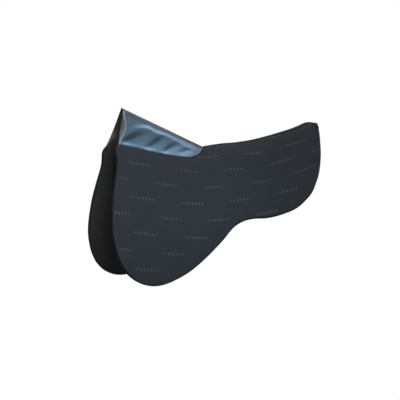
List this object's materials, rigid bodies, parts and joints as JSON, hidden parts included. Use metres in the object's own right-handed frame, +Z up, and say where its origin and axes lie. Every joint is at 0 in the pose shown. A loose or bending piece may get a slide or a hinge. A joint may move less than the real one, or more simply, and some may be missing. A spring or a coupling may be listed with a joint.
{
  "type": "half pad",
  "caption": "Saddle half pad: two padded fabric side panels lined with spacer mesh, joined along the spine, with a leather-look cover folded over the withers; each side folds on its own line.",
  "frame": {"origin": "underside of the pad on the spine line, at about the middle of its length, where the horse's back carries it", "axes": "+X towards the cantle (horse's tail), -X towards the withers, -Y the horse's left side, +Z up"},
  "size_m": [0.5635, 0.302, 0.4099],
  "materials": {
    "outer_fabric": "matt woven navy",
    "foam": "open-cell foam padding",
    "spacer_mesh": "black 3-D spacer mesh",
    "binding_tape": "matt woven tape",
    "leather_look": "glossy coated, smooth",
    "woven_lining": "plain weave",
    "hem_leather_look": "glossy coated, turned edge",
    "spine_tape": "ribbed tape",
    "lining_tape": "plain tape"
  },
  "bodies": {
    "topline": {"wither_cover": "leather_look", "wither_lining": "woven_lining", "wither_hem": "hem_leather_look", "spine_strip": "spine_tape", "spine_lining_strip": "lining_tape"},
    "left_side": {"left_outer_cover": "outer_fabric", "left_foam_core": "foam", "left_mesh_lining": "spacer_mesh", "left_edge_binding": "binding_tape"},
    "right_side": {"right_outer_cover": "outer_fabric", "right_foam_core": "foam", "right_mesh_lining": "spacer_mesh", "right_edge_binding": "binding_tape"}
  },
  "joints": [
    {"name": "left_fold", "type": "hinge", "parent": "topline", "child": "left_side", "pos_m": [-0.055, -0.008, -0.0085], "axis": [-0.9734, 0, -0.2293], "range_deg": [-18, 20], "stiffness_Nm_per_rad": 1.2, "springref_deg": 10.6, "deforming": ["wither_cover", "wither_lining", "wither_hem", "spine_strip", "spine_lining_strip"]},
    {"name": "right_fold", "type": "hinge", "parent": "topline", "child": "right_side", "pos_m": [-0.055, 0.008, -0.0085], "axis": [0.9734, 0, 0.2293], "range_deg": [-18, 20], "stiffness_Nm_per_rad": 1.2, "springref_deg": 10.6, "deforming": ["wither_cover", "wither_lining", "wither_hem", "spine_strip", "spine_lining_strip"]}
  ]
}
